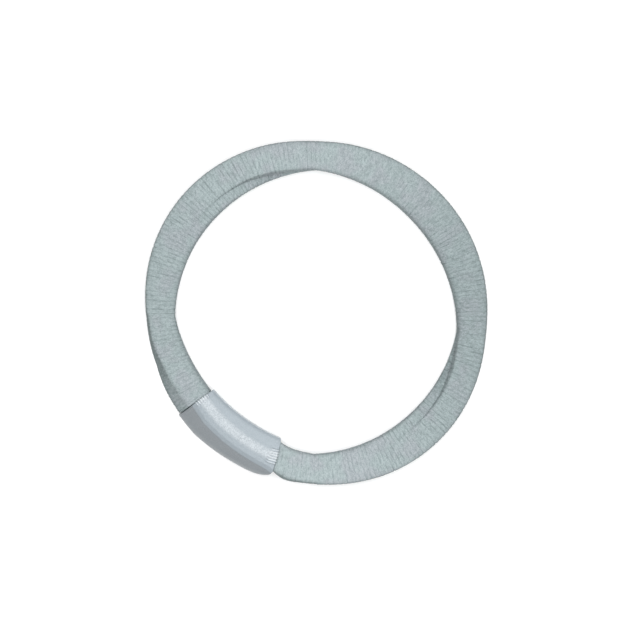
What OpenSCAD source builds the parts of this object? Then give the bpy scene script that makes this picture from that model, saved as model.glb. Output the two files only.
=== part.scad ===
// Soft fabric hair tie: a thick hollow knit band in a loop, its two ends held in a satin sleeve.
// It lies flat, +Z up along the loop's axis, with the sleeve on the -Y side. Millimetres and degrees.
// A place along the loop is an angle from the sleeve's middle, anticlockwise seen from above.

/* [Loop] */
// Radius of the loop's middle line
loop_r = 26.1; // [20:0.1:40]

/* [Band] */
// Width of the band at its wide places
band_w = 6.7; // [5.6:0.1:7.2]
// Height of the band at its waists
band_h = 5.8; // [5:0.1:6.4]
// Thickness of the knit wall
band_wall = 1.2; // [0.8:0.05:1.4]
// Space between the band's two ends, inside the sleeve
end_gap = 0.4; // [0.2:0.1:2]

/* [Sleeve] */
// Length of the sleeve along its middle line
sleeve_len = 16.8; // [10:0.1:20]
// Width of the sleeve at its middle
sleeve_w = 7.5; // [7:0.05:9]
// Height of the sleeve
sleeve_h = 6.9; // [6.5:0.1:8]
// Thickness of the satin wrap
sleeve_wall = 0.6; // [0.4:0.05:1]
// Clearance between the sleeve and the band inside it
fit_gap = 0.16; // [0.08:0.02:0.4]

/* [Hidden] */

// Form of the band, a row for each waist and each wide place in turn. Middle is a share of loop_r,
// width of band_w and height of band_h. Roll turns the section, plus lifting its outer side.
// Squareness is the exponent of the section's rounded square.
// place, middle, width, height, roll, squareness
STATIONS = [
    [33.5, 1.003, 0.755, 1.00, 0, 6.0],
    [74.5, 1.013, 0.996, 0.85, -2, 5.5],
    [117.5, 1.005, 0.735, 1.00, -2, 5.0],
    [164.5, 0.988, 0.998, 0.85, -4, 5.0],
    [214.5, 1.018, 0.740, 1.00, 2, 6.0],
    [260.5, 1.027, 1.004, 0.85, -2, 5.5],
    [305.5, 1.006, 0.740, 1.00, 2, 5.0],
    [344.5, 0.971, 1.010, 1.08, -2, 5.0],
];

// A fold, a row for each step of the way along it. A steep face cuts an upper corner of the section,
// and a lobe swells up below it. Cut is a share of band_h, lobe of the section's half height.
// way, tilt of the face, cut, lobe
INNER_FOLD = [
    [0, 80, 0.016, 0.00],
    [8, 80, 0.075, 0.06],
    [18, 76, 0.174, 0.24],
    [28, 69, 0.237, 0.60],
    [38, 65, 0.242, 0.84],
    [50, 62, 0.222, 0.97],
    [62, 60, 0.171, 1.00],
];
// The same for the steep outer face that runs through the sleeve, with no lobe.
OUTER_FACE = [
    [0, 80, 0.016, 0],
    [8, 81, 0.065, 0],
    [18, 77, 0.188, 0],
    [30, 63, 0.249, 0],
    [56, 58, 0.243, 0],
    [68, 60, 0.238, 0],
    [76, 74, 0.110, 0],
    [82, 76, 0.040, 0],
    [90, 76, 0.000, 0],
];

// The folds: the place where each starts, which way it runs, the corner that it cuts, its steps and the
// roundness of its ridge, a share of band_h.
INNER = -1;
OUTER = 1;
crisp = 0.06;
soft = 0.12;
FOLDS = [
    [214.5, 1, INNER, INNER_FOLD, crisp],
    [119.5, -1, INNER, INNER_FOLD, crisp],
    [304.5, 1, OUTER, OUTER_FACE, soft],
];

// Form of the sleeve. Left and right are its ends as seen from outside the loop, sleeve at the front.
sleeve_middle = 0.961; // share of loop_r
sleeve_straight = 0.5; // from 0, bent with the loop, to 1, straight
sleeve_taper = 0.035; // share of its width lost at the right end and gained at the left
left_draw = 0.048; // shares of its width by which its outer side is drawn in at each end
right_draw = 0.09;
nose = 3.6; // length of the rounded nose at the right end
sleeve_square = 16;
sleeve_face_tilt = 62;
sleeve_face_cut = 0.277; // share of sleeve_h
face_run = 0.33; // share of the cut lost towards the right end and gained at the left
nose_fill = 0.7; // share of it lost besides over the nose
crown = 0.096; // share of the height by which the top falls off, a half width from its crest
crest_round = 0.12; // shares of the half width: how soft the crest is, and how far off the middle
crest_left = -0.36;
crest_right = -0.06;
rim_round = 0.45; // share of sleeve_wall taken off at the rims

// Softness of the form.
press = 0.03; // share of a section's height that is flattened where it rests
lobe_round = 0.07; // share of band_h
valley_round = 0.16; // share of band_h
left_mouth = 0.5; // length over which the band swells where it leaves the sleeve
right_mouth = 3;

// Steps of the mesh. The band's inner skin takes every second ring and side.
upper_sides = 28;
lower_sides = 8;
free_rings = 84;
mouth_rings = 4;
held_rings = 6;
sleeve_rings = 14;
coarse = 2;
to_corners = 4.76; // degrees by which the sides crowd towards a section's corners

LOOK_OUT = 90; // direction from a section's centre to its top
NO_FACE = 1000;
LEAST = 0.02; // least sine or cosine that a reach is divided by

sleeve_r = loop_r * sleeve_middle;
sleeve_half = sleeve_len / 2 / sleeve_r * 180 / PI;
held_half = (sleeve_len / 2 + fit_gap) / sleeve_r * 180 / PI;
left_deg = left_mouth / loop_r * 180 / PI;
right_deg = right_mouth / loop_r * 180 / PI;
nose_deg = nose / sleeve_r * 180 / PI;
end_half = end_gap / 2 / sleeve_r * 180 / PI;
rim_deg = sleeve_wall / sleeve_r * 180 / PI;

EVEN_SIDES = concat(steps(0, 180, upper_sides), steps(180, 360, lower_sides));
SIDES = [for (deg = EVEN_SIDES) deg + to_corners * sin(4 * deg)];
BAND_PLACES = concat(
    steps(end_half, held_half, held_rings),
    steps(held_half, held_half + right_deg, mouth_rings),
    steps(held_half + right_deg, 360 - held_half - left_deg, free_rings),
    steps(360 - held_half - left_deg, 360 - held_half, mouth_rings),
    steps(360 - held_half, 360 - end_half, held_rings),
    [360 - end_half]
);
SLEEVE_PLACES = concat(
    [-sleeve_half],
    [for (i = [0:sleeve_rings]) (sleeve_half - rim_deg) * (2 * i / sleeve_rings - 1)],
    [sleeve_half]
);

function mix(a, b, k) = a + (b - a) * k;
function steps(from, to, count) = [for (i = [0:count - 1]) mix(from, to, i / count)];
function within(x) = min(max(x, 0), 1);
function ease(x) = let (u = within(x)) u * u * (3 - 2 * u);

function soft_min(a, b, k) = min(a, b) - pow(max(k - abs(a - b), 0), 2) / (4 * k);
function soft_max(a, b, k) = -soft_min(-a, -b, k);
function flat(lists) = [for (list = lists) each list];

// Angle from the sleeve's middle, from -180 to 180.
function turned(place) = (place % 360 + 540) % 360 - 180;

// How far a rounded square reaches in a direction, and how far off a flat laid on that side lies.
function outline(a, b, n, deg) = pow(pow(abs(cos(deg)) / a, n) + pow(abs(sin(deg)) / b, n), -1 / n);
function support(a, b, n, deg) =
    let (m = n / (n - 1)) pow(pow(a * abs(cos(deg)), m) + pow(b * abs(sin(deg)), m), 1 / m);

// The row for a place between two stations. It changes quickly beside a waist and slowly beyond.
function station(place) = let (
    last = len(STATIONS) - 1,
    s = place < STATIONS[0][0] ? place + 360 : place,
    i = max([for (j = [0:last]) if (STATIONS[j][0] <= s) j]),
    from = STATIONS[i],
    to = STATIONS[i == last ? 0 : i + 1],
    t = (s - from[0]) / (to[0] - from[0] + (i == last ? 360 : 0)),
    k = i % 2 == 0 ? sin(90 * t) : 1 - sin(90 * (1 - t))
) [for (column = [1:5]) mix(from[column], to[column], k)];

function along(rows, way, column) = lookup(way, [for (row = rows) [row[0], row[column]]]);

// A section: middle, centre height, half width, half height, roll, squareness, its cuts, and its crown
// and the crest's place. A cut is given as corner, tilt, depth, lobe and roundness. It is kept as the
// direction in which its face looks, the distance of the face and the height of the lobe, both from the
// centre, and the roundness.
function section(middle, w, h, roll, n, cuts, crown = 0, crest = 0) = let (
    a = w / 2,
    b = h * (1 + press) / 2,
    wide = a * a / support(a, b, n, roll),
    high = b * b / support(a, b, n, LOOK_OUT - roll)
) [
    middle, h - b, wide, high, roll, n,
    [for (c = cuts) let (look = LOOK_OUT - c[0] * c[1])
        [look, support(wide, high, n, look - roll) - c[2], c[3] * high, c[4]]],
    crown, crest
];

function free_section(place) = let (row = station(place)) section(
    loop_r * row[0], band_w * row[1], band_h * row[2], row[3], row[4],
    [for (f = FOLDS) let (way = (f[1] * (place - f[0]) + 720) % 360, rows = f[3])
        if (way > 0 && way < rows[len(rows) - 1][0])
            [f[2], along(rows, way, 1), band_h * along(rows, way, 2), along(rows, way, 3), f[4]]]
);

function sleeve_section(place) = let (
    s = turned(place),
    share = s / sleeve_half,
    closing = pow(within((s - sleeve_half) / nose_deg + 1), 3),
    drawn = sleeve_w * (left_draw * ease(-2 * share - 1) + right_draw * closing),
    cut = sleeve_face_cut * (1 - face_run * share) * (1 - nose_fill * closing)
) section(
    sleeve_r / cos(s * sleeve_straight) - drawn / 2,
    sleeve_w * (1 - sleeve_taper * share) - drawn, sleeve_h, 0, sleeve_square,
    [[OUTER, sleeve_face_tilt, sleeve_h * cut, 0, soft]],
    crown, mix(crest_left, crest_right, (share + 1) / 2)
);

// Reach of a section's skin in a direction, inset by a wall, once its cuts are taken one by one.
function take_cuts(reach, whole, cuts, deg, inset, i = 0) = i == len(cuts) ? reach : let (
    facing = cos(deg - cuts[i][0]),
    face = facing > LEAST ? (cuts[i][1] - inset) / facing : NO_FACE,
    level = cuts[i][2] - inset,
    lobe = soft_min(whole, level / max(sin(deg), LEAST), lobe_round * band_h),
    cut = soft_min(reach, face, cuts[i][3] * band_h),
    filled = level > 0 ? min(whole, soft_max(cut, lobe, valley_round * band_h)) : cut
) take_cuts(filled, whole, cuts, deg, inset, i + 1);

// One ring of a section's skin, as pairs of radius from the loop's axis and height.
function ring(sec, inset) = [for (deg = SIDES) let (
    whole = outline(sec[2] - inset, sec[3] - inset, sec[5], deg - sec[4]),
    reach = take_cuts(whole, whole, sec[6], deg, inset),
    aside = reach * cos(deg),
    level = max(sec[1] + reach * sin(deg), inset),
    off_crest = norm([aside / sec[2] - sec[8], crest_round]) - crest_round
) [sec[0] + aside, level * (1 - sec[7] * off_crest)]];

// The band is free outside the sleeve and takes the sleeve's form, with clearance, inside it.
function band_ring(place, inset) = let (
    s = turned(place),
    held = pow(1 - within((abs(s) - held_half) / (s > 0 ? right_deg : left_deg)), 2),
    out = ring(free_section(place), inset),
    in = ring(sleeve_section(place), sleeve_wall + fit_gap + inset)
) [for (i = [0:len(SIDES) - 1]) mix(out[i], in[i], held)];

function on_loop(pairs, place) =
    [for (p = pairs) [p[0] * cos(place - 90), p[0] * sin(place - 90), p[1]]];

BAND_OUT = [for (place = BAND_PLACES) on_loop(band_ring(place, 0), place)];
BAND_IN = [for (i = [0:coarse:len(BAND_PLACES) - 1])
    let (points = on_loop(band_ring(BAND_PLACES[i], band_wall), BAND_PLACES[i]))
        [for (j = [0:coarse:len(SIDES) - 1]) points[j]]];
SLEEVE_OUT = [for (i = [0:len(SLEEVE_PLACES) - 1]) let (
    at_rim = i == 0 || i == len(SLEEVE_PLACES) - 1
) on_loop(ring(sleeve_section(SLEEVE_PLACES[i]), at_rim ? rim_round * sleeve_wall : 0), SLEEVE_PLACES[i])];
SLEEVE_IN = [for (place = SLEEVE_PLACES) on_loop(ring(sleeve_section(place), sleeve_wall), place)];

// The middle of the whole outline goes over the origin.
XS = [for (p = flat(concat(BAND_OUT, SLEEVE_OUT))) p[0]];
YS = [for (p = flat(concat(BAND_OUT, SLEEVE_OUT))) p[1]];
centre = [(min(XS) + max(XS)) / 2, (min(YS) + max(YS)) / 2, 0];

// Two triangles for each patch of a skin of so many rings and sides, whose first point is base.
function skin_faces(rings, sides, base, turn) = [
    for (i = [0:rings - 2], j = [0:sides - 1]) let (
        a = base + i * sides + j,
        b = base + i * sides + (j + 1) % sides,
        c = b + sides,
        d = a + sides
    ) each turn ? [[a, d, c], [a, c, b]] : [[a, b, c], [a, c, d]]
];

// The face between an outer ring and an inner one that has a side for every few of the outer's.
function end_faces(outer, inner, sides, every, turn) = [
    for (k = [0:sides / every - 1]) let (
        fan = [for (m = [0:every]) outer + (k * every + m) % sides],
        near = inner + k,
        next = inner + (k + 1) % (sides / every)
    ) each concat(
        [for (m = [0:every - 1]) turn ? [near, fan[m + 1], fan[m]] : [near, fan[m], fan[m + 1]]],
        [turn ? [near, next, fan[every]] : [near, fan[every], next]]
    )
];

// A bent tube with a wall, open at both ends.
module tube(outer, inner, every) {
    sides = len(outer[0]);
    in_sides = len(inner[0]);
    in_base = len(outer) * sides;
    polyhedron(
        points = flat(concat(outer, inner)),
        faces = concat(
            skin_faces(len(outer), sides, 0, false),
            skin_faces(len(inner), in_sides, in_base, true),
            end_faces(0, in_base, sides, every, true),
            end_faces(in_base - sides, in_base + (len(inner) - 1) * in_sides, sides, every, false)
        )
    );
}

// The knit band: an open C whose two ends stop short of each other inside the sleeve.
module band() {
    color([0.68, 0.74, 0.75])
        translate(-centre)
            tube(BAND_OUT, BAND_IN, coarse);
}

// The satin sleeve, a short tube that is open at both ends.
module sleeve() {
    color([0.77, 0.79, 0.83])
        translate(-centre)
            tube(SLEEVE_OUT, SLEEVE_IN, 1);
}

band();
sleeve();
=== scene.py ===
"""Soft fabric hair tie: a thick hollow knit band whose joint is held in a short satin sleeve.

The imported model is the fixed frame, and each piece here stands for the node of the same part. The form is
worked out as in the part's source: a section for each ring along the loop, swept by Geometry Nodes, which
also raise the knit's cross ribs and the sleeve's pleats. Sizes are millimetres and degrees until a mesh is
made. A place is an angle from the sleeve's middle, anticlockwise seen from above.
"""

import logging
import math
from dataclasses import dataclass
from enum import Enum
from functools import partialmethod
from typing import Mapping, NamedTuple, Optional, Sequence, Union

import bpy
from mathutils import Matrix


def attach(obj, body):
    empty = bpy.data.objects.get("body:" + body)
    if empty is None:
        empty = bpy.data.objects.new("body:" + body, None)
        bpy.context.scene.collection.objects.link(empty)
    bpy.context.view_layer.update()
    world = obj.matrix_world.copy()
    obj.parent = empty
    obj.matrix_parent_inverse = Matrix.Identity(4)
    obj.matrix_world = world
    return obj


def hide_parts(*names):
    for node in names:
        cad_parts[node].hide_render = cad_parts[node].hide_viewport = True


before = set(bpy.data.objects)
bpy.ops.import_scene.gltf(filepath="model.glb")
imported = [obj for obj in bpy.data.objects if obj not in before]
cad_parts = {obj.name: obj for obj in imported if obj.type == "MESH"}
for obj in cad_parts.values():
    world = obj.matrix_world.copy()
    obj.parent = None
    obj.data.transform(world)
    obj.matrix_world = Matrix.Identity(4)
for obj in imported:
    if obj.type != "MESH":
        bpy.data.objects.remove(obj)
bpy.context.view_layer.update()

MM = 0.001
FAR = 1000.0  # a face or a level that is out of reach
FULL_TURN = 360.0
CRISP = 0.35  # how far a fold's ridge is rounded
SOFT = 0.7
LOG = logging.getLogger("hair_tie")

Inputs = Mapping[Union[str, int], object]


class Corner(Enum):
    """The upper corner of a section that a fold cuts."""

    INNER = -1
    OUTER = 1


class Course(Enum):
    """The way in which a fold runs along the loop from its start."""

    ONWARD = 1
    BACK = -1


class Span(NamedTuple):
    """The range in which a soft step rises from 0 to 1."""

    low: float
    high: float


class Scale(NamedTuple):
    """How closely a pattern repeats along a piece, across it and up it, in each millimetre."""

    along: float
    across: float
    up: float


class Station(NamedTuple):
    """A waist or a wide place of the band: shares of the loop's radius, the band's width and its height."""

    place: float
    middle: float
    width: float
    height: float
    roll: float
    square: float


class Step(NamedTuple):
    """A step along a fold: its face's tilt, its cut as a share of the height, its lobe of half of it."""

    way: float
    tilt: float
    cut: float
    lobe: float


@dataclass(frozen=True)
class Fold:
    """A long fold: where it starts, its course, the corner it cuts, its steps and its ridge's roundness."""

    start: float
    course: Course
    corner: Corner
    steps: tuple[Step, ...]
    ridge: float


STATIONS = (
    Station(33.5, 1.003, 0.755, 1.00, 0, 6.0),
    Station(74.5, 1.013, 0.996, 0.85, -2, 5.5),
    Station(117.5, 1.005, 0.735, 1.00, -2, 5.0),
    Station(164.5, 0.988, 0.998, 0.85, -4, 5.0),
    Station(214.5, 1.018, 0.740, 1.00, 2, 6.0),
    Station(260.5, 1.027, 1.004, 0.85, -2, 5.5),
    Station(305.5, 1.006, 0.740, 1.00, 2, 5.0),
    Station(344.5, 0.971, 1.010, 1.08, -2, 5.0),
)
INNER_FOLD = (
    Step(0, 80, 0.0, 0.00),
    Step(8, 80, 0.055, 0.06),
    Step(18, 76, 0.168, 0.24),
    Step(28, 69, 0.237, 0.60),
    Step(38, 65, 0.242, 0.84),
    Step(50, 62, 0.222, 0.97),
    Step(62, 60, 0.171, 1.00),
)
OUTER_FACE = (
    Step(0, 80, 0.016, 0),
    Step(8, 81, 0.065, 0),
    Step(18, 77, 0.188, 0),
    Step(30, 63, 0.249, 0),
    Step(56, 58, 0.243, 0),
    Step(68, 60, 0.238, 0),
    Step(76, 74, 0.110, 0),
    Step(82, 76, 0.040, 0),
    Step(90, 76, 0.000, 0),
)
FOLDS = (
    Fold(214.5, Course.ONWARD, Corner.INNER, INNER_FOLD, CRISP),
    Fold(119.5, Course.BACK, Corner.INNER, INNER_FOLD, CRISP),
    Fold(304.5, Course.ONWARD, Corner.OUTER, OUTER_FACE, SOFT),
)


def mix(low: float, high: float, share: float) -> float:
    """The value that lies the given share of the way from low to high."""
    return low + (high - low) * share


def ease(share: float) -> float:
    """A share kept within 0 and 1, with a soft start and end."""
    kept = min(max(share, 0.0), 1.0)
    return kept * kept * (3 - 2 * kept)


def signed(place: float) -> float:
    """An angle brought to between -180 and 180."""
    return (place + FULL_TURN / 2) % FULL_TURN - FULL_TURN / 2


def spread(low: float, high: float, count: int) -> list[float]:
    """Evenly spaced values from low up to, but without, high."""
    return [mix(low, high, i / count) for i in range(count)]


def support(wide: float, high: float, square: float, degrees: float) -> float:
    """How far from the centre a flat laid on a rounded square lies.

    Args:
        wide: half width of the rounded square.
        high: half height of it.
        square: its exponent.
        degrees: the direction in which the flat looks.

    Returns:
        The distance from the centre to the flat.
    """
    power = square / (square - 1)
    across = wide * abs(math.cos(math.radians(degrees)))
    upward = high * abs(math.sin(math.radians(degrees)))
    return (across**power + upward**power) ** (1 / power)


class Cut(NamedTuple):
    """What a fold takes off a section: corner, the face's tilt, depth, the lobe's share, and the ridge."""

    corner: Corner
    tilt: float
    depth: float
    lobe: float
    ridge: float


class Section(NamedTuple):
    """A section of the form: its centre, its rounded square, and the face and lobe that shape it."""

    middle: float
    rise: float
    wide: float
    high: float
    roll: float
    square: float
    look: float
    face: float
    level: float
    ridge: float
    crown: float = 0.0
    crest: float = 0.0

    def towards(self, other: "Section", share: float) -> "Section":
        """The section that lies the given share of the way from this one to another."""
        return Section(*(mix(a, b, share) for a, b in zip(self, other)))


def shaped_section(
    middle: float, width: float, height: float, roll: float, square: float, cut: Optional[Cut], press: float
) -> Section:
    """Fits a rounded square, turned by its roll, to a width and a height, and lays a fold's face on it.

    Args:
        middle: radius of its centre from the loop's axis.
        width: width over all.
        height: height over all, once its underside is pressed flat.
        roll: its turn, plus lifting the outer side.
        square: exponent of the rounded square.
        cut: what a fold takes off it, or None.
        press: share of the height that is flattened where it rests.

    Returns:
        The section.
    """
    half_wide = width / 2
    half_high = height * (1 + press) / 2
    wide = half_wide**2 / support(half_wide, half_high, square, roll)
    high = half_high**2 / support(half_wide, half_high, square, 90 - roll)
    look, face, level, ridge = 90.0, FAR, -1.0, CRISP
    if cut is not None:
        look = 90 - cut.corner.value * cut.tilt
        face = support(wide, high, square, look - roll) - cut.depth
        level = cut.lobe * high
        ridge = cut.ridge
    return Section(middle, height - half_high, wide, high, roll, square, look, face, level, ridge)


class Ring(NamedTuple):
    """One ring of a wall: its place, section, inset from the outer skin, relief, pleats and edge."""

    place: float
    section: Section
    inset: float
    bare: float = 0.0
    hem: float = 0.0
    pull: float = 0.0


@dataclass(frozen=True)
class Field:
    """A value that flows through a node tree, with arithmetic."""

    wiring: "Wiring"
    socket: bpy.types.NodeSocket

    def _apply(self, operation: str, swapped: bool, other: "Number") -> "Field":
        """The result of an operation with another value, which comes first if they are swapped."""
        values = (other, self) if swapped else (self, other)
        return self.wiring.math(operation, *values)

    __add__ = __radd__ = partialmethod(_apply, "ADD", False)
    __sub__ = partialmethod(_apply, "SUBTRACT", False)
    __rsub__ = partialmethod(_apply, "SUBTRACT", True)
    __mul__ = __rmul__ = partialmethod(_apply, "MULTIPLY", False)
    __truediv__ = partialmethod(_apply, "DIVIDE", False)
    __rtruediv__ = partialmethod(_apply, "DIVIDE", True)
    __pow__ = partialmethod(_apply, "POWER", False)


Number = Union[Field, float, int]


class Wiring:
    """Places and joins the nodes of one tree."""

    def __init__(self, tree: bpy.types.NodeTree) -> None:
        """Starts on a tree."""
        self.tree = tree

    def fill(self, node: bpy.types.Node, inputs: Inputs) -> None:
        """Joins fields to some of a node's inputs, or sets the inputs' own values.

        Args:
            node: the node.
            inputs: what its inputs get, by name or number.
        """
        for key, value in inputs.items():
            if isinstance(value, Field):
                self.tree.links.new(value.socket, node.inputs[key])
            else:
                node.inputs[key].default_value = value

    def add(self, kind: str, inputs: Optional[Inputs] = None, **settings: object) -> bpy.types.Node:
        """Places a node.

        Args:
            kind: the node's type.
            inputs: what its inputs get, by name or number.
            settings: its own settings.

        Returns:
            The node.
        """
        node = self.tree.nodes.new(kind)
        for name, setting in settings.items():
            setattr(node, name, setting)
        self.fill(node, inputs or {})
        return node

    def out(self, node: bpy.types.Node, key: Union[str, int] = 0) -> Field:
        """One of a node's outputs as a field."""
        return Field(self, node.outputs[key])

    def made(self, kind: str, inputs: Optional[Inputs] = None, **settings: object) -> Field:
        """The first output of a node that is placed as by add."""
        return self.out(self.add(kind, inputs, **settings))

    def math(self, operation: str, *values: Number) -> Field:
        """The result of a Math node's operation on its values in turn."""
        return self.made("ShaderNodeMath", dict(enumerate(values)), operation=operation)

    def least(self, first: Number, second: Number) -> Field:
        """The smaller of two values."""
        return self.math("MINIMUM", first, second)

    def most(self, first: Number, second: Number) -> Field:
        """The larger of two values."""
        return self.math("MAXIMUM", first, second)

    def size(self, value: Number) -> Field:
        """A value without its sign."""
        return self.math("ABSOLUTE", value)

    def blend(self, low: Number, high: Number, share: Number) -> Field:
        """The value that lies a share of the way from low to high."""
        return (high - low) * share + low if isinstance(high, Field) else share * (high - low) + low

    def soft_least(self, first: Number, second: Number, width: Number) -> Field:
        """The smaller of two values, with the crossing rounded over a width."""
        near = self.most(width - self.size(first - second), 0.0)
        return self.least(first, second) - near * near / (width * 4.0)

    def creased(self, first: Number, second: Number, width: Number, depth: Number) -> Field:
        """The larger of two values, with a dip of a given width and share of its depth where they cross."""
        near = self.most(width - self.size(first - second), 0.0)
        return self.most(first, second) - near * near * depth / (width * 4.0)

    def ramp(self, value: Number, low: Number, high: Number) -> Field:
        """A value's way from low to high as a share, with a soft start and end."""
        inputs = {0: value, 1: low, 2: high}
        return self.made("ShaderNodeMapRange", inputs, interpolation_type="SMOOTHSTEP")

    def full(self, noise: Number) -> Field:
        """A noise's value, spread so that it fills the range from 0 to 1."""
        return self.ramp(noise, 0.3, 0.7)

    def group(self, tree: bpy.types.NodeTree, *values: Number) -> bpy.types.Node:
        """Places a shader group and fills its inputs in turn."""
        return self.add("ShaderNodeGroup", dict(enumerate(values)), node_tree=tree)

    def point(self, x: Number, y: Number, z: Number) -> Field:
        """A vector made of three values."""
        return self.made("ShaderNodeCombineXYZ", {0: x, 1: y, 2: z})

    def parts(self, vector: Field) -> tuple[Field, ...]:
        """A vector's three values."""
        node = self.add("ShaderNodeSeparateXYZ", {0: vector})
        return tuple(self.out(node, i) for i in range(3))

    def scaled(self, vector: Field, scale: Number) -> Field:
        """A vector times a number."""
        return self.made("ShaderNodeVectorMath", {0: vector, "Scale": scale}, operation="SCALE")

    def noise(self, vector: Field, scale: Number, seed: Number, detail: float = 2.0) -> Field:
        """A noise texture's value, from 0 to 1 about a half, with a number of finer layers."""
        inputs = {"Vector": vector, "W": seed, "Scale": scale, "Detail": detail}
        return self.made("ShaderNodeTexNoise", inputs, noise_dimensions="4D")


class WallTree:
    """The Geometry Nodes tree that sweeps a wall through its rings and raises its ribs and pleats."""

    READ = ("place", *Section._fields, "inset", "bare", "hem", "pull")
    LEAST = 0.02  # least sine or cosine that a reach is divided by
    EVENING = 0.083  # turns the sides towards the corners, so that they are about equally long
    WELD = 2e-6
    CREST_ROUND = 0.2
    # These set the painted shade of the knit's folds:
    FACE_STARTS = Span(0.0, 0.2)  # how far a fold's face lies below its lobe
    LOBE_RISES = Span(0.9, 2.0)  # a lobe's level, from one whose face is shaded to one whose face isn't
    LOBE_STARTS = Span(0.25, 0.8)
    FOLD_DEEPENS = Span(0.1, 0.8)  # how much a fold takes off, which sets the painted shade in its crease
    CREASE_SHADE = 0.4
    FACE_SHADE = 1.4
    RIB_WAVER = Scale(0.45, 0.22, 0.1)
    RIB_STRENGTH = Scale(1.7, 0.45, 0.3)
    RIB_NARROW = 2.4
    RIB_ROUND = 0.8
    RIB_OWN = Span(0.3, 0.65)  # each rib's own strength, as for its least
    OWN_LEAST = 0.5
    PATCHES = Scale(1.0, 0.5, 0.5)  # where the ribs are deep, more so towards their bearing
    PATCH_SIZE = 0.7
    PATCH_EDGE = Span(0.42, 0.66)
    PATCH_LEAST = 0.2
    BEARING_SHARE = 0.3
    CRACKS = Scale(3.0, 1.0, 1.0)
    CRACK_NARROW = 12.0
    CRACK_DEPTH = 0.3
    CRACK_FADE = 0.6  # how far a crack fades where the ribs are deep
    PUFFS = Scale(2.6, 1.7, 1.7)
    PUFF_SHARE = 0.25
    PLEATS_FROM = Span(4.0, 5.0)  # height from which the sleeve is pleated
    PLEAT_NARROW = 2.5
    PLEAT_FULL = 0.7
    INPUTS: Mapping[str, tuple[str, ...]] = {
        "Geometry": ("Rings",),
        "Int": ("Upper Sides", "Lower Sides", "Seed"),
        "Vector": ("Centre",),
        "Material": ("Material",),
        "Float": (
            *("Radius", "Lobe Round", "Crease", "Rib Depth", "Rib Pitch", "Rib Wander", "Rib Bearing"),
            *("Pleat Depth", "Pleat Pitch", "Pleat Middle", "Pleat Spread"),
            *("Outer Corner", "Inner Corner", "Inner Pull"),
        ),
    }

    def __init__(self) -> None:
        """Builds the tree."""
        self.tree = bpy.data.node_groups.new("Swept wall", "GeometryNodeTree")
        self.wiring = Wiring(self.tree)
        new_socket = self.tree.interface.new_socket
        for kind, names in self.INPUTS.items():
            for name in names:
                socket = new_socket(name=name, in_out="INPUT", socket_type="NodeSocket" + kind)
                if kind == "Float":
                    socket.default_value = 1.0  # a piece leaves out only the sizes that its rings don't use
        new_socket(name="Wall", in_out="OUTPUT", socket_type="NodeSocketGeometry")
        self.given = self.wiring.add("NodeGroupInput")
        self._lay()

    def _input(self, name: str) -> Field:
        """One of the tree's own inputs."""
        return self.wiring.out(self.given, name)

    def _stored(self, name: str) -> Field:
        """A value that the geometry's points hold."""
        return self.wiring.made("GeometryNodeInputNamedAttribute", {"Name": name}, data_type="FLOAT")

    def _sampled(self, rings: Field, ring: Field, name: str) -> Field:
        """What the ring at each corner of the grid says by a name."""
        inputs = {"Geometry": rings, "Value": self._stored(name), "Index": ring}
        return self.wiring.made("GeometryNodeSampleIndex", inputs, data_type="FLOAT")

    def _reach(self, at: Mapping[str, Field], turn: Field) -> tuple[Field, Field]:
        """How far the skin reaches from its section's centre, and the painted shade of a fold there.

        Args:
            at: what the ring says.
            turn: the direction, in radians from outward.

        Returns:
            The reach in millimetres, and the painted shade that a fold with a lobe puts there, from 0 up.
        """
        w = self.wiring
        across = w.size(w.math("COSINE", turn - at["roll"])) / (at["wide"] - at["inset"])
        upward = w.size(w.math("SINE", turn - at["roll"])) / (at["high"] - at["inset"])
        whole = (across ** at["square"] + upward ** at["square"]) ** (-1.0 / at["square"])
        facing = w.most(w.math("COSINE", turn - at["look"]), self.LEAST)
        face = (at["face"] - at["inset"]) / facing
        cut = w.soft_least(whole, face, at["ridge"])
        level = (at["level"] - at["inset"]) / w.most(w.math("SINE", turn), self.LEAST)
        lobe = w.soft_least(whole, level, self._input("Lobe Round"))
        crease = self._input("Crease")
        depth = w.least(w.most(whole - w.most(cut, lobe), 0.0) / crease, 1.0)
        reach = w.creased(cut, lobe, crease, depth)
        low_face = w.ramp(lobe - cut, *self.FACE_STARTS) * (1 - w.ramp(at["level"], *self.LOBE_RISES))
        deep = w.ramp(whole - reach, *self.FOLD_DEEPENS)
        valley = w.most(deep * self.CREASE_SHADE, low_face * self.FACE_SHADE)
        return reach, valley * w.ramp(at["level"], *self.LOBE_STARTS)

    def _ribs(self, along: Field, radius: Field, height: Field) -> Field:
        """The knit's cross ribs: wavering lines and branching cracks, from 0 at the bottom of a groove to 1
        on a ridge.

        Args:
            along: distance along the loop.
            radius: distance from the loop's axis.
            height: height above the floor.

        Returns:
            The relief.
        """
        w = self.wiring
        seed = self._input("Seed")

        def noise(way: Field, scale: Scale, step: int, size: float = 1.0) -> Field:
            """A noise stretched by its scale, with its own step of the seed."""
            place = w.point(way * scale.along, radius * scale.across, height * scale.up)
            return w.noise(place, size, seed + step)

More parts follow.
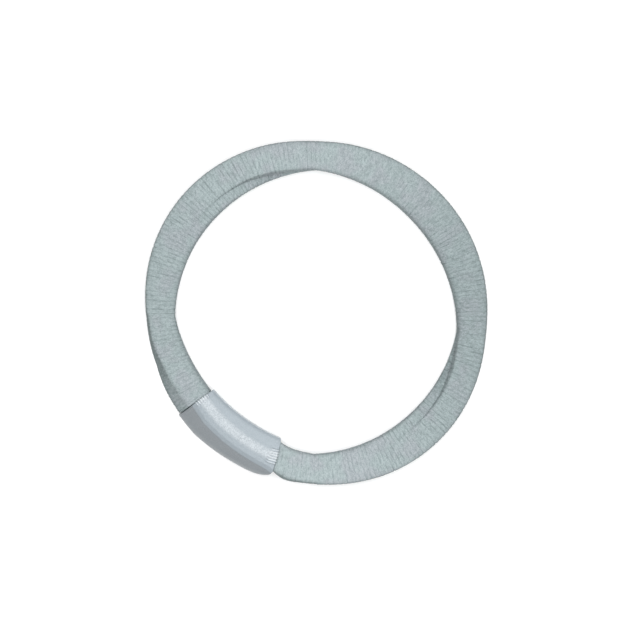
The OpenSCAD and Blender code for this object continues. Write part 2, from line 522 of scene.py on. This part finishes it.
        wander = noise(along, self.RIB_WAVER, 0) - 0.5
        across = (along + wander * self._input("Rib Wander")) / self._input("Rib Pitch")
        narrow = w.size(w.math("SINE", across * math.pi)) * self.RIB_NARROW
        grooves = 1 - w.least(narrow, 1.0) ** self.RIB_ROUND
        own = w.ramp(noise(w.math("FLOOR", across + 0.5), self.RIB_STRENGTH, 41), *self.RIB_OWN)
        turn = along / self._input("Radius") - self._input("Rib Bearing")
        strong = w.math("COSINE", turn * 2) * 0.5 + 0.5
        patch = noise(along, self.PATCHES, 13, self.PATCH_SIZE)
        gate = w.ramp(patch + strong * self.BEARING_SHARE, *self.PATCH_EDGE)
        cracks = 1 - w.least(w.size(noise(along, self.CRACKS, 7) - 0.5) * self.CRACK_NARROW, 1.0)
        puffs = w.full(noise(along, self.PUFFS, 29))
        ribs = grooves * w.blend(self.PATCH_LEAST, 1.0, gate) * w.blend(self.OWN_LEAST, 1.0, own)
        dips = w.most(ribs, cracks * (1 - gate * self.CRACK_FADE) * self.CRACK_DEPTH)
        return (1 - dips) * (1 - self.PUFF_SHARE) + puffs * self.PUFF_SHARE

    def _pleats(self, aside: Field, height: Field, hem: Field) -> Field:
        """The sleeve's short pleats at its ends, from 0 to 1.

        Args:
            aside: distance from the crest, across the sleeve.
            height: height above the floor.
            hem: 1 at an end of the sleeve, 0 where its pleats run out.

        Returns:
            The relief.
        """
        w = self.wiring
        aside = aside - self._input("Pleat Middle")
        spread = self._input("Pleat Spread")
        window = 1.0 - w.ramp(w.size(aside), spread * self.PLEAT_FULL, spread)
        upper = w.ramp(height, *self.PLEATS_FROM)
        waves = w.size(w.math("SINE", aside * math.pi / self._input("Pleat Pitch")))
        return waves**self.PLEAT_NARROW * window * hem * upper

    def _lay(self) -> None:
        """Lays the grid, sweeps it through the rings, closes it, raises its relief and finishes it."""
        w = self.wiring
        rings = self._input("Rings")
        ring_count = w.made("GeometryNodeAttributeDomainSize", {"Geometry": rings})
        upper, lower = self._input("Upper Sides"), self._input("Lower Sides")
        sides = upper + lower
        grid = w.made("GeometryNodeMeshGrid", {"Vertices X": ring_count + 1, "Vertices Y": sides + 1})
        index = w.made("GeometryNodeInputIndex")
        ring = w.math("FLOOR", (index + 0.5) / (sides + 1))
        side = index - ring * (sides + 1)
        nearest = w.math("MODULO", ring, ring_count)
        at = {name: self._sampled(rings, nearest, name) for name in self.READ}

        above = w.least(side, upper) / upper
        below = w.most(side - upper, 0.0) / lower
        level_turn = (above + below) * math.pi
        turn = level_turn + w.math("SINE", level_turn * 4) * self.EVENING
        reach, valley = self._reach(at, turn)
        radius = at["middle"] + reach * w.math("COSINE", turn)
        height = w.most(at["rise"] + reach * w.math("SINE", turn), at["inset"])
        aside = radius - at["middle"]
        off_crest = aside / at["wide"] - at["crest"]
        softened = w.math("SQRT", off_crest * off_crest + self.CREST_ROUND**2) - self.CREST_ROUND
        height = height * (1 - softened * at["crown"])

        def rounding(past_edge: Field, corner: str) -> Field:
            """How far a rounded corner of an end is set back, from 0 away from it to 1 at the side."""
            share = w.least(w.most(past_edge / self._input(corner) + 1, 0.0), 1.0)
            return 1 - w.math("SQRT", 1 - share * share)

        edge = at["wide"] - at["inset"]
        back = rounding(aside - edge, "Outer Corner")
        back = back + rounding(-1 * aside - edge, "Inner Corner") * self._input("Inner Pull")
        bearing = at["place"] - at["pull"] * back - math.pi / 2
        flat = w.point(radius * w.math("COSINE", bearing), radius * w.math("SINE", bearing), height)
        inputs = {0: flat, 1: self._input("Centre")}
        place = w.scaled(w.made("ShaderNodeVectorMath", inputs, operation="SUBTRACT"), MM)

        along = at["place"] * self._input("Radius")
        ribs = self._ribs(along, radius, height)
        pleats = self._pleats(off_crest * at["wide"], height, at["hem"])
        lift = (ribs - 1) * at["bare"] * self._input("Rib Depth") + pleats * self._input("Pleat Depth")
        chart = w.point(at["place"] / math.tau, level_turn / math.tau, 0.0)

        def store(shape: Field, name: str, value: Field, kind: str = "FLOAT", on: str = "POINT") -> Field:
            """A geometry that holds a value by a name."""
            inputs = {"Geometry": shape, "Name": name, "Value": value}
            return w.made("GeometryNodeStoreNamedAttribute", inputs, data_type=kind, domain=on)

        shape = store(grid, "UVMap", chart, "FLOAT2", "CORNER")
        # The finishes read these: relief as painted shade in the rib grooves, the fold mask as painted
        # shade in folds, and crest, upright and pleat for painted light, shade and highlights.
        for name, value in (
            ("relief", w.blend(1.0, ribs, at["bare"])),
            ("pleat", pleats),
            ("valley", valley),
            ("crest", off_crest),
            ("lift", lift * MM),
        ):
            shape = store(shape, name, value)
        shape = w.made("GeometryNodeSetPosition", {"Geometry": shape, "Position": place})
        shape = w.made("GeometryNodeMergeByDistance", {"Geometry": shape, "Distance": self.WELD})

        normal = w.made("GeometryNodeInputNormal")
        shape = store(shape, "upright", w.parts(normal)[2])
        offset = w.scaled(normal, self._stored("lift"))
        shape = w.made("GeometryNodeSetPosition", {"Geometry": shape, "Offset": offset})
        x, y, z = w.parts(w.made("GeometryNodeInputPosition"))
        for kind, inputs in (
            ("GeometryNodeSetPosition", {"Position": w.point(x, y, w.most(z, 0.0))}),
            ("GeometryNodeRemoveAttribute", {"Name": "lift"}),
            ("GeometryNodeSetShadeSmooth", {}),
            ("GeometryNodeSetMaterial", {"Material": self._input("Material")}),
            ("GeometryNodeRealizeInstances", {}),
        ):
            shape = w.made(kind, {"Geometry": shape, **inputs})
        w.add("NodeGroupOutput", {"Wall": shape})

    def sweep(
        self, name: str, form: Union["Sleeve", "Band"], material: bpy.types.Material
    ) -> bpy.types.Object:
        """Sweeps a piece's wall through its rings and makes the result a plain mesh.

        Args:
            name: the piece's name.
            form: its form, whose fields go to the inputs of the same name.
            material: its finish.

        Returns:
            The piece.
        """
        rings = form.rings()
        mesh = bpy.data.meshes.new(name)
        mesh.from_pydata([(0.0, 0.0, 0.0)] * len(rings), [], [])
        turned = ("place", "roll", "look", "pull")
        rows = [dict(ring.section._asdict(), **ring._asdict()) for ring in rings]
        for key in self.READ:
            column = [math.radians(row[key]) if key in turned else float(row[key]) for row in rows]
            mesh.attributes.new(key, "FLOAT", "POINT").data.foreach_set("value", column)
        piece = bpy.data.objects.new(name, mesh)
        bpy.context.scene.collection.objects.link(piece)
        wall = piece.modifiers.new("wall", "NODES")
        wall.node_group = self.tree
        values = {**vars(form.loop), **vars(form), "material": material}
        for item in self.tree.interface.items_tree:
            key = item.name.lower().replace(" ", "_")
            if item.in_out == "INPUT" and key in values:
                wall[item.identifier] = values[key]
        evaluated = piece.evaluated_get(bpy.context.evaluated_depsgraph_get())
        plain = bpy.data.meshes.new_from_object(evaluated)
        piece.modifiers.remove(wall)
        piece.data = plain
        plain.name = name
        bpy.data.meshes.remove(mesh)
        return piece


class Effects:
    """The shader node groups that more than one finish uses."""

    def __init__(self) -> None:
        """Builds the groups."""
        self.grain = self._grain()
        self.rows = self._rows()

    @staticmethod
    def _group(name: str, inputs: Sequence[str], outputs: Sequence[str]) -> tuple[Wiring, list[Field]]:
        """Starts a shader group whose first input is a vector and whose others are numbers.

        Args:
            name: its name.
            inputs: names of its inputs.
            outputs: names of its values.

        Returns:
            The wiring of the group's tree, and its inputs.
        """
        w = Wiring(bpy.data.node_groups.new(name, "ShaderNodeTree"))
        for way, labels in (("INPUT", inputs), ("OUTPUT", outputs)):
            for label in labels:
                kind = "NodeSocketVector" if label == inputs[0] else "NodeSocketFloat"
                w.tree.interface.new_socket(name=label, in_out=way, socket_type=kind)
        given = w.add("NodeGroupInput")
        return w, [w.out(given, label) for label in inputs]

    def _grain(self) -> bpy.types.NodeTree:
        """Fine irregular grain: specks of fibre over soft blotches.

        Returns:
            The group's tree.
        """
        names = ("Vector", "Speck", "Blotch", "Seed")
        w, (vector, speck, blotch, seed) = self._group("Fibre grain", names, ("Specks", "Blotches"))
        specks = w.noise(vector, 1.0 / speck, seed, 3.0)
        blotches = w.noise(vector, 1.0 / blotch, seed + 5.0, 1.0)
        w.add("NodeGroupOutput", {"Specks": specks, "Blotches": blotches})
        return w.tree

    def _rows(self) -> bpy.types.NodeTree:
        """Rows of thread on a piece's own map: slanted rows for a weave, or stitches that point one way.

        Returns:
            The group's tree.
        """
        names = ("Vector", "Along Count", "Round Count", "Slant", "Stitched")
        w, (chart, count, round_count, slant, stitched) = self._group("Thread rows", names, ("Height",))
        along, around, _ = w.parts(chart)
        across = around * round_count
        zigzag = w.size(w.math("FRACT", across) - 0.5) * 2
        phase = along * count + w.blend(across, zigzag, stitched) * slant
        rows = w.size(w.math("SINE", phase * math.pi))
        columns = w.size(w.math("SINE", across * math.pi)) ** 0.5
        w.add("NodeGroupOutput", {"Height": rows * w.blend(1.0, columns, stitched)})
        return w.tree


class Colour(NamedTuple):
    """A colour as linear shares of red, green and blue."""

    red: float
    green: float
    blue: float


class Surface(Wiring):
    """The wiring of a new material with its Principled BSDF."""

    def __init__(self, name: str) -> None:
        """Starts the material.

        Args:
            name: its name.
        """
        self.material = bpy.data.materials.new(name)
        self.material.use_nodes = True
        super().__init__(self.material.node_tree)
        self.tree.nodes.clear()
        self.shader = self.add("ShaderNodeBsdfPrincipled")
        self.add("ShaderNodeOutputMaterial", {"Surface": self.out(self.shader)})

    def place(self) -> Field:
        """The object's own coordinates in metres."""
        return self.out(self.add("ShaderNodeTexCoord"), "Object")

    def stored(self, name: str) -> Field:
        """A value that the piece's own mesh holds."""
        return self.out(self.add("ShaderNodeAttribute", attribute_name=name), "Fac")

    def bump(self, height: Field, strength: float, depth: float) -> Field:
        """The normal over a relief of a depth in millimetres."""
        return self.made("ShaderNodeBump", {"Strength": strength, "Distance": depth * MM, "Height": height})

    def tinted(self, low: Union[Colour, Field], high: Union[Colour, Field], share: Number) -> Field:
        """The colour that lies a share of the way from low to high."""
        ends = [(*end, 1.0) if isinstance(end, Colour) else end for end in (low, high)]
        return self.out(self.add("ShaderNodeMix", {0: share, 6: ends[0], 7: ends[1]}, data_type="RGBA"), 2)


@dataclass(frozen=True)
class KnitFinish:
    """Matte crinkled knit, with painted shade in its rib grooves, cracks, folds and steep sides, and
    painted light round the loop.
    """

    # ridge and drift are the knit's own colours, mixed at random; the darkest colour is the colour of
    # painted shade.
    ridge: Colour = Colour(0.346, 0.402, 0.410)
    valley: Colour = Colour(0.122, 0.155, 0.157)
    drift: Colour = Colour(0.353, 0.383, 0.406)
    drift_patch: Span = Span(0.4, 0.65)
    # Painted light round the loop, lowered as a whole:
    stretch_bearing: float = 120.4
    stretch_light: float = 0.108
    fade_bearing: float = -110.5
    fade_light: float = 0.068
    painted_light_drop: float = 0.055
    # How much the rib grooves (painted shade) and the grain's specks set the lightness:
    relief_light: float = 0.66
    speck_light: float = 0.42
    valley_light: float = -0.06
    # Painted shade in folds, on steep sides and in a dark line along the edges:
    fold_shade: float = 0.16
    inner_shade: float = 0.12
    outer_shade: float = 0.4
    outer_half: Span = Span(-0.3, 0.3)
    side_ends: Span = Span(0.1, 0.65)  # of the normal's way up, as for the rim
    rim_starts: Span = Span(-0.2, 0.1)
    rim_ends: Span = Span(0.15, 0.45)
    rim_least: float = 0.2
    rim_shade: float = 0.4
    crack: Scale = Scale(2.6, 0.8, 0.5)
    crack_narrow: float = 16.0
    # How light the fine cracks keep under their painted shade:
    crack_light: float = 0.65
    crack_relief: float = 1.5
    stitch_relief: float = 0.5
    relief_strength: float = 0.6
    relief_depth: float = 0.05
    roughness: float = 0.92
    specular: float = 0.2
    loop_length: float = 164.0
    seed: float = 3.0
    grain: tuple[float, float] = (0.15, 3.0)  # sizes of specks and blotches
    rows: tuple[float, ...] = (520.0, 58.0, 0.5, 1.0)  # counts along and round, slant, 1 for stitches

    def material(self, effects: Effects) -> bpy.types.Material:
        """Builds the material.

        Args:
            effects: the shared shader groups.

        Returns:
            The material.
        """
        w = Surface("Crinkled knit")
        place, chart = w.scaled(w.place(), 1 / MM), w.made("ShaderNodeUVMap", uv_map="UVMap")
        grain = w.group(effects.grain, place, *self.grain, self.seed)
        specks, blotches = w.out(grain, "Specks"), w.out(grain, "Blotches")
        ground = w.tinted(self.ridge, self.drift, w.ramp(blotches, *self.drift_patch))
        x, y, z = w.parts(place)
        radius = w.math("SQRT", x * x + y * y)
        along = w.parts(chart)[0] * self.loop_length
        fine = w.point(along * self.crack.along, radius * self.crack.across, z * self.crack.up)
        cracks = w.least(w.size(w.noise(fine, 1.0, self.seed + 3) - 0.5) * self.crack_narrow, 1.0)
        # Painted light that changes round the loop: lighter along one pair of bearings and towards one
        # side.
        double, once = math.radians(2 * self.stretch_bearing), math.radians(self.fade_bearing)
        bearing = (x * x - y * y) * math.cos(double) + x * y * (2 * math.sin(double))
        painted_light = bearing / (radius * radius) * self.stretch_light - self.painted_light_drop
        painted_light = painted_light + (x * math.cos(once) + y * math.sin(once)) / radius * self.fade_light
        # Painted shade on steep sides, more on the outer one, in a dark line along the edges, and in folds.
        outer = w.blend(self.inner_shade, self.outer_shade, w.ramp(w.stored("crest"), *self.outer_half))
        upright = w.stored("upright")
        side = (1 - w.ramp(upright, *self.side_ends)) * outer
        rim = w.ramp(upright, *self.rim_starts) * (1 - w.ramp(upright, *self.rim_ends))
        rim = rim * w.most(outer - self.rim_least, 0.0)
        shade = w.most(w.stored("valley") * self.fold_shade, side + rim * self.rim_shade)
        # Painted shade in the rib grooves and fine cracks, with the yarn's own specks, then the painted
        # light round the loop and the painted shade of sides and folds.
        light = w.stored("relief") * self.relief_light + w.full(specks) * self.speck_light
        light = (light + self.valley_light) * w.blend(self.crack_light, 1.0, cracks) + painted_light - shade
        stitches = w.out(w.group(effects.rows, chart, *self.rows))
        relief = stitches * self.stitch_relief + specks + cracks * self.crack_relief
        w.fill(w.shader, {
            "Base Color": w.tinted(self.valley, ground, light),
            "Normal": w.bump(relief, self.relief_strength, self.relief_depth),
            "Roughness": self.roughness,
            "Specular IOR Level": self.specular,
        })
        return w.material


@dataclass(frozen=True)
class SatinFinish:
    """Smooth satin weave with a soft sheen, a painted grainy highlight along its crest, painted highlights
    on its pleats, and painted light and shade by slope.
    """

    # The top's colour, the painted shade of the steep outer face, the painted highlight along the crest and
    # the painted highlight on the pleats, in turn; sheen tints the real specular.
    face: Colour = Colour(0.295, 0.337, 0.367)
    shade: Colour = Colour(0.080, 0.092, 0.100)
    crest: Colour = Colour(0.43, 0.46, 0.48)
    gloss: Colour = Colour(0.48, 0.51, 0.53)
    sheen: Colour = Colour(0.86, 0.94, 1.0)
    top: Span = Span(4.0, 5.0)
    steep_ends: Span = Span(0.5, 0.75)  # of the normal's way up, as for the ridge's and the inner slope's painted light
    turn_starts: Span = Span(0.5, 0.66)
    turn_ends: Span = Span(0.86, 0.98)
    slope_ends: Span = Span(0.3, 0.97)
    outer_half: Span = Span(0.0, 0.3)
    inner_part: Span = Span(-0.6, -0.4)
    # Where the painted highlight lies across the crest, and where the pleats' painted highlight shows:
    crest_middle: float = -0.02
    crest_ends: Span = Span(0.08, 0.32)
    pleat_gloss: Span = Span(0.3, 1.0)
    thread_light: float = 0.6
    speck_light: float = 0.4
    least_light: float = 0.02
    face_light: float = 0.35
    # How much painted light the ridge and the inner slope get:
    turn_light: float = 0.18
    slope_light: float = 0.5
    crest_speck: float = 0.2
    face_relief: float = 0.4
    relief_strength: float = 0.8
    relief_depth: float = 0.12
    roughness: float = 0.36
    specular: float = 0.36
    refraction: float = 1.7
    seed: float = 11.0
    grain: tuple[float, float] = (0.15, 4.0)
    rows: tuple[float, ...] = (373.0, 42.0, 1.0, 0.0)

    def material(self, effects: Effects) -> bpy.types.Material:
        """Builds the material.

        Args:
            effects: the shared shader groups.

        Returns:
            The material.
        """
        w = Surface("Grey satin")
        place = w.scaled(w.place(), 1 / MM)
        specks = w.out(w.group(effects.grain, place, *self.grain, self.seed))
        grainy = w.full(specks)
        weave = w.out(w.group(effects.rows, w.made("ShaderNodeUVMap", uv_map="UVMap"), *self.rows))
        off_crest, upright = w.stored("crest"), w.stored("upright")
        threads = weave * self.thread_light + grainy * self.speck_light + self.least_light
        # Painted shade on the steep outer face, and painted light where the top turns into it and on the
        # inner slope; the threads are the weave's own grain.
        steep_face_shade = (1 - w.ramp(upright, *self.steep_ends)) * w.ramp(off_crest, *self.outer_half)
        ridge_light = w.ramp(upright, *self.turn_starts) * (1 - w.ramp(upright, *self.turn_ends))
        inner_slope_light = (1 - w.ramp(upright, *self.slope_ends)) * (1 - w.ramp(off_crest, *self.inner_part))
        tone = (threads + 1 - steep_face_shade) * self.face_light + ridge_light * self.turn_light
        tone = tone + inner_slope_light * self.slope_light
        # A painted grainy highlight along the crest, on the top only.
        off_middle = w.size(off_crest - self.crest_middle)
        band = (1 - w.ramp(off_middle, *self.crest_ends)) * w.ramp(w.parts(place)[2], *self.top)
        cloth = w.tinted(self.shade, self.face, tone)
        lit = w.tinted(cloth, self.crest, band * w.blend(self.crest_speck, 1.0, grainy))
        relief = specks * w.blend(self.face_relief, 1.0, band)
        # The pleats get a painted highlight.
        w.fill(w.shader, {
            "Base Color": w.tinted(lit, self.gloss, w.ramp(w.stored("pleat"), *self.pleat_gloss)),
            "Normal": w.bump(relief, self.relief_strength, self.relief_depth),
            "Roughness": self.roughness,
            "Specular IOR Level": self.specular,
            "IOR": self.refraction,
            "Specular Tint": (*self.sheen, 1.0),
        })
        return w.material


@dataclass(frozen=True)
class FloorFinish:
    """Plain pale studio floor."""

    colour: Colour = Colour(0.90, 0.90, 0.90)
    cloud: float = 1.01
    cloud_scale: float = 3.0
    roughness: float = 0.9

    def material(self) -> bpy.types.Material:
        """Builds the material.

        Returns:
            The material.
        """
        w = Surface("Pale floor")
        share = w.full(w.noise(w.place(), self.cloud_scale, 1.0))
        lighter = Colour(*(part * self.cloud for part in self.colour))
        w.fill(w.shader, {
            "Base Color": w.tinted(self.colour, lighter, share),
            "Roughness": self.roughness,
            "Specular IOR Level": 0.0,
        })
        return w.material


@dataclass(frozen=True)
class Loop:
    """What both pieces share: the loop's middle line, the frame's origin and how soft the form is."""

    radius: float = 26.1
    centre: tuple[float, float, float] = (-0.243, 0.142, 0.0)
    press: float = 0.03
    lobe_round: float = 0.406
    crease: float = 0.464


@dataclass(frozen=True)
class Sleeve:
    """The satin wrap over the joint: a short curved tube with a wall, open at both ends."""

    loop: Loop
    length: float = 16.8
    width: float = 7.5
    height: float = 6.9
    wall: float = 0.6
    middle: float = 0.961
    straight: float = 0.5
    taper: float = 0.035
    left_draw: float = 0.048
    right_draw: float = 0.09
    nose: float = 3.6
    nose_fill: float = 0.7
    square: float = 20.0
    crown: float = 0.096
    crest_left: float = -0.36
    crest_right: float = -0.06
    face_tilt: float = 62.0
    face_cut: float = 0.277
    face_run: float = 0.33
    outer_rings: int = 150
    inner_rings: int = 30
    rim_rings: int = 9
    rim_reach: float = 0.14
    upper_sides: int = 180
    lower_sides: int = 40
    left_pleats: float = 0.9
    right_pleats: float = 1.9
    pleat_rise: float = 2.5
    pleat_depth: float = 0.1
    pleat_pitch: float = 0.46
    pleat_spread: float = 1.45
    pleat_middle: float = 0.1
    outer_corner: float = 1.1
    outer_pull: float = 0.8
    inner_corner: float = 1.2
    inner_pull: float = 0.5625  # as a share of the outer one

    @property
    def radius(self) -> float:
        """Radius of the sleeve's middle line."""
        return self.loop.radius * self.middle

    @property
    def half(self) -> float:
        """Half the sleeve's length as an angle round the loop."""
        return math.degrees(self.length / 2 / self.radius)

    def section(self, place: float) -> Section:
        """The wrap's outer section.

        Args:
            place: an angle from -180 to 180.

        Returns:
            The section there.
        """
        share = place / self.half
        nose = math.degrees(self.nose / self.radius)
        closing = min(max((place - self.half) / nose + 1, 0.0), 1.0) ** 3
        drawn = self.width * (self.left_draw * ease(-2 * share - 1) + self.right_draw * closing)
        middle = self.radius / math.cos(math.radians(place * self.straight)) - drawn / 2
        width = self.width * (1 - self.taper * share) - drawn
        depth = self.height * self.face_cut * (1 - self.face_run * share) * (1 - self.nose_fill * closing)
        cut = Cut(Corner.OUTER, self.face_tilt, depth, 0.0, SOFT)
        shaped = shaped_section(middle, width, self.height, 0.0, self.square, cut, self.loop.press)
        crest = mix(self.crest_left, self.crest_right, (share + 1) / 2)
        return shaped._replace(crown=self.crown, crest=crest)

    def _ring(self, place: float, inset: float) -> Ring:
        """One ring of the wrap.

        Args:
            place: where it lies.
            inset: how far it lies inside the outer skin.

        Returns:
            The ring.
        """
        length = math.degrees((self.right_pleats if place > 0 else self.left_pleats) / self.radius)
        from_end = (self.half - abs(place)) / length
        hem = ease(self.pleat_rise * (1 - from_end)) if inset < self.wall / 2 else 0.0
        pull = math.degrees(self.outer_pull / self.radius) * ease(place / self.half)
        return Ring(place, self.section(place), inset, 0.0, hem, pull)

    def rings(self) -> list[Ring]:
        """Lays out the whole wall.

        Returns:
            Its rings: out along the skin, round the right rim, back inside and round the left rim.
        """
        rim = math.degrees(self.rim_reach / self.radius)
        edge = self.half - rim
        turns = [math.pi * i / self.rim_rings for i in range(1, self.rim_rings)]
        rounded = [(edge + rim * math.sin(turn), self.wall / 2 * (1 - math.cos(turn))) for turn in turns]
        outward = [(place, 0.0) for place in spread(-edge, edge, self.outer_rings) + [edge]]
        inward = [(place, self.wall) for place in spread(edge, -edge, self.inner_rings) + [-edge]]
        left = [(-place, inset) for place, inset in reversed(rounded)]
        return [self._ring(place, inset) for place, inset in outward + rounded + inward + left]


@dataclass(frozen=True)
class Band:
    """The knit tube: an open C, free outside the sleeve and in the sleeve's form inside it."""

    loop: Loop
    sleeve: Sleeve
    width: float = 6.7
    height: float = 5.8
    wall: float = 1.2
    end_gap: float = 0.4
    fit_gap: float = 0.16
    hem_gap: float = 0.05
    left_mouth: float = 0.08
    right_mouth: float = 3.0
    free_rings: int = 1040
    held_rings: int = 8
    inner_rings: int = 110
    upper_sides: int = 54
    lower_sides: int = 26
    rib_depth: float = 0.145
    rib_pitch: float = 0.73
    rib_wander: float = 0.6
    rib_bearing: float = math.radians(88.0)
    seed: int = 2
    waist_fill: float = 0.08  # rounds the outline's hollow corner on the outer side of a waist
    waist_run: float = 7.0
    bare_start: float = 0.6  # how soon past the sleeve's end the ribs reach their full depth
    dense_start: float = 1.0  # degrees inside the sleeve's ends from which the rings lie close together

    def station(self, place: float) -> Station:
        """The row for a place, which changes quickly beside a waist and slowly beyond.

        Args:
            place: an angle from 0 to 360.

        Returns:
            The row.
        """
        past = place + FULL_TURN if place < STATIONS[0].place else place
        i = max(j for j, row in enumerate(STATIONS) if row.place <= past)
        start, end = STATIONS[i], STATIONS[(i + 1) % len(STATIONS)]
        length = (end.place - start.place) % FULL_TURN
        share = (past - start.place) / length
        quarter = math.pi / 2
        share = math.sin(quarter * share) if i % 2 == 0 else 1 - math.sin(quarter * (1 - share))
        return Station(*(mix(a, b, share) for a, b in zip(start, end)))

    def fold_at(self, place: float) -> Optional[Cut]:
        """What a fold takes off the section at a place.

        Args:
            place: an angle from 0 to 360.

        Returns:
            The cut, or None where there is no fold.
        """
        for fold in FOLDS:
            way = (fold.course.value * (place - fold.start)) % FULL_TURN
            if 0 < way < fold.steps[-1].way:
                i = max(j for j, step in enumerate(fold.steps) if step.way <= way)
                near, far = fold.steps[i], fold.steps[i + 1]
                share = (way - near.way) / (far.way - near.way)
                _, tilt, cut, lobe = (mix(a, b, share) for a, b in zip(near, far))
                return Cut(fold.corner, tilt, self.height * cut, lobe, fold.ridge)
        return None

    def _ring(self, place: float, inset: float) -> Ring:
        """One ring of the tube.

        Args:
            place: where it lies, from 0 to 360.
            inset: how far it lies inside the outer skin.

        Returns:
            The ring.
        """
        row = self.station(place)
        waist = min(abs(signed(place - found.place)) for found in STATIONS[::2])
        fill = self.waist_fill * max(1 - waist / self.waist_run, 0.0) ** 2
        section = shaped_section(
            self.loop.radius * row.middle + fill / 2,
            self.width * row.width + fill,
            self.height * row.height,
            row.roll,
            row.square,
            self.fold_at(place),
            self.loop.press,
        )
        aside = signed(place)
        mouth = self.right_mouth if aside > 0 else self.left_mouth
        past_end = math.radians(abs(aside) - self.sleeve.half) * self.loop.radius - self.hem_gap
        held = (1 - min(max(past_end / mouth, 0.0), 1.0)) ** 2
        if held > 0:
            inside = self.sleeve.section(aside)._replace(level=0.0)
            section = section._replace(level=0.0).towards(inside, held)
        inset += held * (self.sleeve.wall + self.fit_gap)
        return Ring(place, section, inset, ease(past_end / self.left_mouth + self.bare_start))

    def rings(self) -> list[Ring]:
        """Lays out the whole wall.

        Returns:
            Its rings: round the loop along the skin, and back along the hollow.
        """
        end = math.degrees(self.end_gap / 2 / self.sleeve.radius)
        near = self.sleeve.half - self.dense_start
        places = (
            spread(end, near, self.held_rings)
            + spread(near, FULL_TURN - near, self.free_rings)
            + spread(FULL_TURN - near, FULL_TURN - end, self.held_rings)
            + [FULL_TURN - end]
        )
        outward = [self._ring(place, 0.0) for place in places]
        back = spread(FULL_TURN - end, end, self.inner_rings) + [end]
        inward = [self._ring(place, self.wall)._replace(bare=0.0) for place in back]
        return outward + inward


class Lamp(NamedTuple):
    """A flat lamp that faces down: its sides and way aside in metres, its power in watts, and its turn."""

    across: float
    along: float
    power: float
    aside: float
    turn: float


@dataclass(frozen=True)
class Studio:
    """Plain pale floor, soft overhead light, and the camera that looks straight down at the tie."""

    photo_side: int = 630
    pixels_across_tie: float = 344.0
    tie_across: float = 58.0
    aim: tuple[float, float, float] = (0.165, -0.496, 3.0)
    turn: float = 34.5
    lens: float = 300.0
    sensor: float = 36.0
    softbox: Lamp = Lamp(0.6, 1.8, 28.0, 0.04, 34.5)
    strip: Lamp = Lamp(1.2, 0.12, 1.5, 0.0, 0.0)
    lamp_bearing: float = 79.5
    lamp_height: float = 1.3
    sky: float = 0.35
    floor_reach: float = 6.0
    floor_drop: float = 0.01

    def camera(self) -> None:
        """Places the camera."""
        data = bpy.data.cameras.new("camera")
        data.type = "PERSP"
        data.lens = self.lens
        data.sensor_width = self.sensor
        data.clip_start = 0.01
        data.clip_end = 50.0
        view_across = self.photo_side * self.tie_across / self.pixels_across_tie * MM
        camera = bpy.data.objects.new("camera", data)
        distance = view_across * self.lens / self.sensor
        x, y, z = (part * MM for part in self.aim)
        camera.location = (x, y, distance + z)
        camera.rotation_euler = (0.0, 0.0, math.radians(self.turn))
        bpy.context.scene.collection.objects.link(camera)
        bpy.context.scene.camera = camera

    def lights(self) -> None:
        """Hangs the soft light and the narrow one for the satin's sheen, and dims the sky."""
        bearing = math.radians(self.lamp_bearing)
        for name, lamp in (("softbox", self.softbox), ("strip", self.strip)):
            data = bpy.data.lights.new(name, "AREA")
            data.shape = "RECTANGLE"
            data.size, data.size_y, data.energy = lamp[:3]
            light = bpy.data.objects.new(name, data)
            flat = (lamp.aside * math.cos(bearing), lamp.aside * math.sin(bearing))
            light.location = (*flat, self.lamp_height)
            light.rotation_euler = (0.0, 0.0, math.radians(lamp.turn))
            bpy.context.scene.collection.objects.link(light)
        world = bpy.data.worlds.new("sky")
        world.use_nodes = True
        background = world.node_tree.nodes["Background"].inputs
        background["Color"].default_value = (1, 1, 1, 1)
        background["Strength"].default_value = self.sky
        bpy.context.scene.world = world

    def floor(self) -> None:
        """Lays the floor just under the tie."""
        reach, drop = self.floor_reach, -self.floor_drop * MM
        corners = [(x * reach, y * reach, drop) for x, y in ((-1, -1), (1, -1), (1, 1), (-1, 1))]
        mesh = bpy.data.meshes.new("floor")
        mesh.from_pydata(corners, [], [(0, 1, 2, 3)])
        mesh.materials.append(FloorFinish().material())
        floor = bpy.data.objects.new("floor", mesh)
        bpy.context.scene.collection.objects.link(floor)

    def build(self) -> None:
        """Sets up the whole studio."""
        self.camera()
        self.lights()
        self.floor()
        bpy.context.scene.view_settings.view_transform = "Standard"


def report(piece: bpy.types.Object) -> None:
    """Logs a piece's count of triangles and its size.

    Args:
        piece: the piece.
    """
    triangles = len(piece.data.loops) - 2 * len(piece.data.polygons)
    sides = [round(side / MM, 1) for side in piece.dimensions]
    LOG.info("%s: %d triangles, %s mm", piece.name, triangles, sides)


def main() -> None:
    logging.basicConfig(level=logging.INFO, format="%(name)s: %(message)s")
    Studio().build()
    effects, tree, loop = Effects(), WallTree(), Loop()
    sleeve = Sleeve(loop)

    knit = tree.sweep("knit_band", Band(loop, sleeve), KnitFinish().material(effects))
    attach(knit, "root")
    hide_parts("band")
    report(knit)

    satin = tree.sweep("satin_sleeve", sleeve, SatinFinish().material(effects))
    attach(satin, "root")
    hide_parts("sleeve")
    report(satin)


if __name__ == "__main__":
    main()
